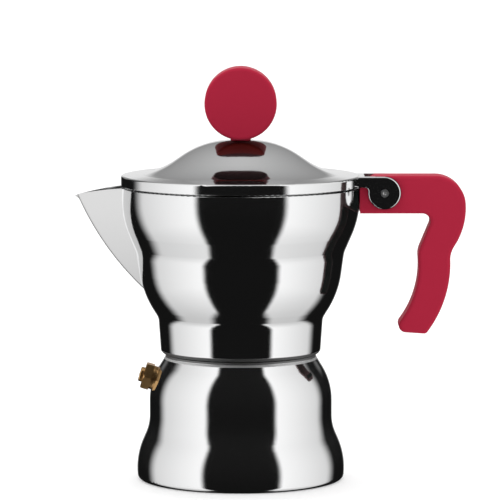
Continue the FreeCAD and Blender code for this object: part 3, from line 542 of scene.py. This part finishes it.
@dataclass(frozen=True)
class Thread:
    """A screw thread: one ridge that winds round the pot's axis, on a neck or inside a collar."""

    name: str
    body: str
    wall_radius: float
    crest: float
    start: float
    turns: float
    pitch: float = THREAD_PITCH
    foot_width: float = 0.0012
    land_width: float = 0.0004
    sunk: float = 0.00005
    steps_per_turn: int = 72

    def build(self) -> bpy.types.Object:
        """Sweeps the ridge's section along its helix.

        Returns:
            The thread, on its body.
        """
        root = self.wall_radius - math.copysign(self.sunk, self.crest)
        tip = self.wall_radius + self.crest
        half_foot, half_land = self.foot_width / 2, self.land_width / 2
        section = ((root, -half_foot), (tip, -half_land), (tip, half_land), (root, half_foot))
        shape = bmesh.new()
        corners = [shape.verts.new((radius, 0.0, self.start + rise)) for radius, rise in section]
        sides = [shape.edges.new((corners[place - 1], corner)) for place, corner in enumerate(corners)]
        bmesh.ops.spin(shape, geom=corners + sides, cent=(0.0, 0.0, 0.0), axis=(0.0, 0.0, 1.0),
                       dvec=(0.0, 0.0, self.pitch / self.steps_per_turn), angle=2 * math.pi * self.turns,
                       steps=round(self.steps_per_turn * self.turns))
        return closed_piece(shape, self.name, self.body)


class Palette:
    """The materials of the finishes, each made when it is first used."""

    def __init__(self) -> None:
        """Starts with no material."""
        self.made: dict[Finish, bpy.types.Material] = {}

    def material(self, finish: Finish) -> bpy.types.Material:
        """Gives a finish's material.

        Args:
            finish: the finish that is asked for.

        Returns:
            The material.
        """
        if finish not in self.made:
            self.made[finish] = finish.material()
        return self.made[finish]


PALETTE = Palette()


@dataclass
class SubAssembly:
    """Pieces of the pot that belong together: construction nodes and what is added to them."""

    nodes: tuple[str, ...] = ()
    finishes: dict[str, Finish] = field(default_factory=dict)

    def build(self) -> list[bpy.types.Object]:
        """Makes the pieces that are added to the nodes.

        Returns:
            The pieces: none, unless a sub-assembly says otherwise.
        """
        return []

    def dress(self) -> None:
        """Gives each node its own finish, or the finish of its slot."""
        slots = {entry["node"]: entry["material_slot"] for entry in frame["record"]["subparts"]}
        for name in self.nodes:
            finish = self.finishes.get(name, FINISHES[Slot(slots[name])])
            mesh = frame["nodes"][name].data
            mesh.materials.clear()
            mesh.materials.append(PALETTE.material(finish))
            LOG.info("%s: %s in %s", type(self).__name__, name, finish.name)

    def dressed(self, piece: bpy.types.Object, slot: Slot) -> bpy.types.Object:
        """Dresses an added piece.

        Args:
            piece: the piece.
            slot: the slot whose finish it gets.

        Returns:
            The dressed piece.
        """
        piece.data.materials.append(PALETTE.material(FINISHES[slot]))
        LOG.info("%s: %s", type(self).__name__, piece.name)
        return piece


@dataclass
class Boiler(SubAssembly):
    """The water chamber with its threaded neck."""

    nodes: tuple[str, ...] = ("boiler",)
    neck_radius: float = 0.0264
    thread_start: float = THREAD_START
    thread_crest: float = 0.0003
    thread_turns: float = 1.8
    # Painted light and shade of the seam under the collar: a pale ring below a dark one.
    painted_seam_rings: tuple[PaintedSeamRing, ...] = (PaintedSeamRing(0.0457, 0.0463, 0.95, 0.65), PaintedSeamRing(0.0466, 0.0474, 0.26, 0.6))
    lining: Profile = (
        (0.0018, 0.0372), (0.0087, 0.0371), (0.0206, 0.0332),
        (0.0368, 0.0318), (0.0464, 0.0256), (0.0557, 0.0248))

    def build(self) -> list[bpy.types.Object]:
        """Winds the thread on the neck.

        Returns:
            The thread.
        """
        neck = Thread("neck_thread", "boiler", self.neck_radius, self.thread_crest, self.thread_start,
                      self.thread_turns)
        return [self.dressed(neck.build(), Slot.POLISHED)]

    def dress(self) -> None:
        """Polishes the outside, leaves the water chamber satin and paints the seam's light and shade under
        the collar as rings.
        """
        self.finishes["boiler"] = replace(
            FINISHES[Slot.POLISHED], name="boiler_casting", lining=self.lining, painted_seam_rings=self.painted_seam_rings)
        super().dress()


@dataclass
class ReliefValve(SubAssembly):
    """The brass safety valve with its spring-loaded plunger."""

    nodes: tuple[str, ...] = ("valve_body", "valve_washer", "valve_retainer", "valve_seal", "valve_plunger")
    centre: tuple[float, float, float] = (-0.03207, 0.0, 0.03775)
    tilt: float = 17.0
    chamber_length: float = 0.0085
    plunger_travel: float = 0.0015
    coil_radius: float = 0.0014
    coil_turns: int = 6
    wire_radius: float = 0.00017
    wire_sides: int = 10
    end_gap: float = 0.00003
    steps_per_turn: int = 36

    def build(self) -> list[bpy.types.Object]:
        """Winds the spring.

        Returns:
            The spring.
        """
        climb = self.chamber_length - 2 * (self.wire_radius + self.end_gap)
        steps = self.steps_per_turn * self.coil_turns
        shape = bmesh.new()
        across = Matrix.Rotation(math.radians(90.0), 4, "X")
        start = Matrix.Translation((self.coil_radius, 0.0, -climb / 2)) @ across
        bmesh.ops.create_circle(shape, segments=self.wire_sides, radius=self.wire_radius, matrix=start)
        bmesh.ops.spin(shape, geom=shape.verts[:] + shape.edges[:], cent=(0.0, 0.0, 0.0),
                       axis=(0.0, 0.0, 1.0), dvec=(0.0, 0.0, climb / steps),
                       angle=2 * math.pi * self.coil_turns, steps=steps)
        lean = Matrix.Rotation(math.radians(self.tilt - 90.0), 4, "Y")
        bmesh.ops.transform(shape, matrix=Matrix.Translation(self.centre) @ lean, verts=shape.verts)
        spring = self.dressed(closed_piece(shape, "valve_spring_coil", "boiler"), Slot.STEEL)
        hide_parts("valve_spring")
        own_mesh(spring)
        return [spring]


@dataclass
class BrewingSet(SubAssembly):
    """The loose pieces between boiler and collector."""

    nodes: tuple[str, ...] = ("funnel", "funnel_strainer", "gasket", "filter_plate")


@dataclass
class Collector(SubAssembly):
    """The coffee chamber with its collar and spout."""

    nodes: tuple[str, ...] = ("collector",)
    collar_radius: float = 0.0268
    thread_start: float = THREAD_START + THREAD_PITCH / 2
    thread_crest: float = -0.0003
    thread_turns: float = 1.5
    spout_wall: float = 0.0016
    spout_foot: float = 0.068
    # Painted shade: a dark ring where the collar meets the boiler.
    painted_seam_rings: tuple[PaintedSeamRing, ...] = (PaintedSeamRing(0.0475, 0.0489, 0.2, 0.6),)
    lining: Profile = (
        (0.0612, 0.0293), (0.064, 0.0314), (0.068, 0.0336), (0.074, 0.0357), (0.086, 0.0377),
        (0.092, 0.0402), (0.096, 0.0417), (0.1, 0.0427), (0.106, 0.0433), (0.1104, 0.0433))

    def build(self) -> list[bpy.types.Object]:
        """Winds the thread in the collar, half a pitch from the neck's.

        Returns:
            The thread.
        """
        collar = Thread("collar_thread", "pot", self.collar_radius, self.thread_crest, self.thread_start,
                        self.thread_turns)
        return [self.dressed(collar.build(), Slot.POLISHED)]

    def dress(self) -> None:
        """Polishes the outside, leaves the coffee chamber satin and the spout less bright, and paints a dark
        ring of shade low on the collar, at the seam.
        """
        self.finishes["collector"] = replace(
            FINISHES[Slot.POLISHED], name="collector_casting", lining=self.lining, painted_seam_rings=self.painted_seam_rings,
            spout_wall=self.spout_wall, spout_foot=self.spout_foot)
        super().dress()


@dataclass
class Handle(SubAssembly):
    """The red grip with its screw and the hinge pin."""

    nodes: tuple[str, ...] = ("handle", "handle_screw", "hinge_pin")
    pin_colour: Colour = (0.82, 0.82, 0.81)
    pin_roughness: float = 0.5

    def dress(self) -> None:
        """Leaves the ends of the hinge pin paler and duller than the screw."""
        self.finishes["hinge_pin"] = replace(
            FINISHES[Slot.STEEL], name="pin_steel", colour=self.pin_colour, roughness=self.pin_roughness)
        super().dress()


@dataclass
class Lid(SubAssembly):
    """The hinged lid."""

    nodes: tuple[str, ...] = ("lid",)
    lining: Profile = (
        (0.108, 0.0412), (0.1132, 0.0412), (0.1142, 0.0365),
        (0.1155, 0.0308), (0.117, 0.0277), (0.12, 0.0231),
        (0.124, 0.0165), (0.1265, 0.0105), (0.1272, 0.0))

    def dress(self) -> None:
        """Polishes the outside and leaves the hollow satin."""
        self.finishes["lid"] = replace(FINISHES[Slot.POLISHED], name="lid_casting", lining=self.lining)
        super().dress()


@dataclass
class Knob(SubAssembly):
    """The red disc on the lid with its bush, screw and washer."""

    nodes: tuple[str, ...] = ("knob", "knob_insert", "knob_screw", "knob_washer")
    # Painted shade: the disc's colour in the crown's reflection, and farther off in the brim's.
    mirror_shade_colour: Colour = (0.055, 0.003, 0.002)
    far_mirror_shade_colour: Colour = (0.004, 0.004, 0.004)

    def dress(self) -> None:
        """Paints shade into the disc's reflections: a deeper red where the lid's crown mirrors it, and black
        where the brim does.
        """
        self.finishes["knob"] = replace(
            FINISHES[Slot.RED], name="knob_nylon", mirror_shade_colour=self.mirror_shade_colour,
            far_mirror_shade_colour=self.far_mirror_shade_colour)
        super().dress()


@dataclass(frozen=True)
class SoftWall:
    """A tall soft light beside the pot, by the directions in which the castings mirror it, in degrees."""

    front_edge: float
    back_edge: float
    front_fade: float = 4.0
    back_fade: float = 10.0
    level: float = 1.06
    fall: float = 0.005

    def glow(self, sheet: Sheet, degrees: Socket) -> Socket:
        """Lays out the wall's brightness.

        Args:
            sheet: the world's nodes.
            degrees: the direction's turn from the front.

        Returns:
            The brightness, which falls off towards the back.
        """
        past = sheet.math("SUBTRACT", degrees, self.front_edge)
        lit = sheet.math("SUBTRACT", self.level, sheet.math("MULTIPLY", past, self.fall))
        starts = sheet.smooth(degrees, self.front_edge - self.front_fade, self.front_edge + self.front_fade)
        ends = sheet.smooth(degrees, self.back_edge + self.back_fade, self.back_edge - self.back_fade)
        return sheet.math("MULTIPLY", lit, sheet.math("MULTIPLY", starts, ends))


@dataclass
class Studio:
    """Floor, light and camera. Levels are brightness, and edges, fades and rises are in degrees."""

    camera_distance: float = 1.430
    camera_height: float = 0.234
    camera_side: float = 0.0035
    camera_pitch: float = 5.895
    camera_reach: float = 50.0
    sensor_width: float = 36.0
    focal_in_frames: float = 7.656
    floor_half: float = 8.0
    floor_white: float = 0.72
    floor_roughness: float = 0.9
    floor_specular: float = 0.1
    floor_glow: float = 0.2
    backdrop: float = 1.05
    lamp_height: float = 1.2
    lamp_size: float = 1.2
    lamp_power: float = 3.0
    matt_light: float = 1.4
    matt_slope: float = 0.65
    left_wall: SoftWall = SoftWall(43.4, 117.0)
    right_wall: SoftWall = SoftWall(45.0, 119.5)
    gloom: float = 0.007
    low_start: float = 25.0
    low_fall: float = 0.0085
    foot_edge: float = -62.5
    foot_fade: float = 4.0
    foot_tilt: float = 0.2
    foot_middle: float = 60.0
    back_level: float = 0.225
    back_gain: float = 0.0042
    back_edge: float = 148.0
    back_fade: float = 9.0
    back_rise: tuple[float, float] = (5.0, 13.0)
    back_widens_above: float = 25.0
    back_widening: float = 0.6
    strip_level: float = 0.8
    strip_sides: tuple[float, float] = (162.0, 176.0)
    strip_foot: tuple[float, float] = (-18.0, 1.0)
    strip_top: tuple[float, float] = (14.0, 8.0)
    ceiling: float = 1.0
    ceiling_rise: tuple[float, float] = (78.0, 84.0)

    def build(self) -> None:
        """Sets up the whole stage."""
        self.set_camera()
        self.lay_floor()
        self.light_room()
        self.hang_lamp()
        bpy.context.scene.view_settings.view_transform = "Standard"

    def set_camera(self) -> None:
        """Places the camera where the photograph was taken from."""
        data = bpy.data.cameras.new("studio_camera")
        data.sensor_width = self.sensor_width
        data.lens = self.sensor_width * self.focal_in_frames
        data.clip_end = self.camera_reach
        camera = bpy.data.objects.new("studio_camera", data)
        camera.location = (self.camera_side, -self.camera_distance, self.camera_height)
        camera.rotation_euler = (math.radians(90.0 - self.camera_pitch), 0.0, 0.0)
        bpy.context.collection.objects.link(camera)
        bpy.context.scene.camera = camera

    def lay_floor(self) -> None:
        """Lays the plain white floor."""
        bpy.ops.mesh.primitive_plane_add(size=2 * self.floor_half, location=(0.0, 0.0, 0.0))
        floor = bpy.context.object
        floor.name = "floor"
        material = bpy.data.materials.new("floor_paper")
        material.use_nodes = True
        shader = material.node_tree.nodes["Principled BSDF"]
        white = self.floor_white
        shader.inputs["Base Color"].default_value = (white, white, white, 1.0)
        shader.inputs["Roughness"].default_value = self.floor_roughness
        shader.inputs["Specular IOR Level"].default_value = self.floor_specular
        shader.inputs["Emission Color"].default_value = (1.0, 1.0, 1.0, 1.0)
        shader.inputs["Emission Strength"].default_value = self.floor_glow
        floor.data.materials.append(material)
        floor.visible_glossy = False

    def hang_lamp(self) -> None:
        """Hangs a broad soft lamp overhead for the matt pieces. The castings don't mirror it."""
        data = bpy.data.lights.new("soft_lamp", "AREA")
        data.shape = "DISK"
        data.size = self.lamp_size
        data.energy = self.lamp_power
        lamp = bpy.data.objects.new("soft_lamp", data)
        lamp.location = (0.0, 0.0, self.lamp_height)
        lamp.visible_glossy = False
        bpy.context.collection.objects.link(lamp)

    def mirrored_room(self, sheet: Sheet, parts: bpy.types.NodeOutputs) -> Socket:
        """Lays out what the castings mirror: dark front, soft walls, grey back with a pale strip, ceiling.

        Args:
            sheet: the world's nodes.
            parts: the direction's X, Y and Z.

        Returns:
            The room's brightness in each direction.
        """
        turn = sheet.math("ARCTAN2", parts["X"], sheet.math("MULTIPLY", parts["Y"], -1.0))
        degrees = sheet.math("MULTIPLY", sheet.math("ABSOLUTE", turn), math.degrees(1.0))
        rise = sheet.math("MULTIPLY", sheet.math("ARCSINE", parts["Z"]), math.degrees(1.0))
        walls = [wall.glow(sheet, degrees) for wall in (self.left_wall, self.right_wall)]
        room = sheet.blend(sheet.math("GREATER_THAN", parts["X"], 0.0), walls[0], walls[1])
        room = sheet.math("MULTIPLY", room, self.towards_floor(sheet, degrees, rise))
        room = sheet.math("ADD", room, self.gloom)
        room = sheet.blend(self.at_the_back(sheet, degrees, rise), room,
                           sheet.math("ADD", sheet.math("MULTIPLY", rise, self.back_gain), self.back_level))
        level_with_pot = sheet.math("MULTIPLY", sheet.smooth(rise, *self.strip_foot),
                                    sheet.smooth(rise, *self.strip_top))
        strip = sheet.math("MULTIPLY", level_with_pot, sheet.smooth(degrees, *self.strip_sides))
        room = sheet.blend(strip, room, self.strip_level)
        return sheet.blend(sheet.smooth(rise, *self.ceiling_rise), room, self.ceiling)

    def at_the_back(self, sheet: Sheet, degrees: Socket, rise: Socket) -> Socket:
        """Finds the grey back, which widens upwards.

        Args:
            sheet: the world's nodes.
            degrees: the direction's turn from the front.
            rise: the direction's height above the horizon, in degrees.

        Returns:
            A mask that is 1 on the back.
        """
        higher = sheet.math("MAXIMUM", sheet.math("SUBTRACT", rise, self.back_widens_above), 0.0)
        widened = sheet.math("ADD", degrees, sheet.math("MULTIPLY", higher, self.back_widening))
        behind = sheet.smooth(widened, self.back_edge - self.back_fade, self.back_edge + self.back_fade)
        return sheet.math("MULTIPLY", behind, sheet.smooth(rise, *self.back_rise))

    def towards_floor(self, sheet: Sheet, degrees: Socket, rise: Socket) -> Socket:
        """Dims the walls downwards, as far as their foot.

        Args:
            sheet: the world's nodes.
            degrees: the direction's turn from the front.
            rise: the direction's height above the horizon, in degrees.

        Returns:
            The share of the walls' brightness that is left.
        """
        low = sheet.math("MINIMUM", sheet.math("ADD", rise, self.low_start), 0.0)
        left = sheet.math("ADD", sheet.math("MULTIPLY", low, self.low_fall), 1.0)
        turned = sheet.math("MULTIPLY", sheet.math("SUBTRACT", degrees, self.foot_middle), self.foot_tilt)
        foot = sheet.smooth(sheet.math("ADD", rise, turned),
                            self.foot_edge - self.foot_fade, self.foot_edge + self.foot_fade)
        return sheet.math("MULTIPLY", left, foot)

    def light_room(self) -> None:
        """Surrounds the pot with the mirrored room, a soft light for matt pieces and a white backdrop."""
        world = bpy.data.worlds.new("studio_room")
        bpy.context.scene.world = world
        world.use_nodes = True
        sheet = Sheet(world.node_tree)
        parts = sheet.split(sheet.add("ShaderNodeTexCoord").outputs["Generated"])
        path = sheet.add("ShaderNodeLightPath")
        soft = sheet.math("ADD", sheet.math("MULTIPLY", parts["Y"], self.matt_slope), self.matt_light)
        level = sheet.blend(path.outputs["Is Glossy Ray"], soft, self.mirrored_room(sheet, parts))
        level = sheet.blend(path.outputs["Is Camera Ray"], level, self.backdrop)
        room = sheet.add("ShaderNodeBackground", Color=(1.0, 1.0, 1.0, 1.0))
        sheet.join(level, room.inputs["Strength"])
        out = sheet.add("ShaderNodeOutputWorld")
        sheet.join(room.outputs[0], out.inputs[0])


def main() -> None:
    """Builds the pieces in order."""
    logging.basicConfig(level=logging.INFO)
    for part in (Boiler(), ReliefValve(), BrewingSet(), Collector(), Handle(), Lid(), Knob()):
        part.build()
        part.dress()
    Studio().build()


if __name__ == "__main__":
    main()
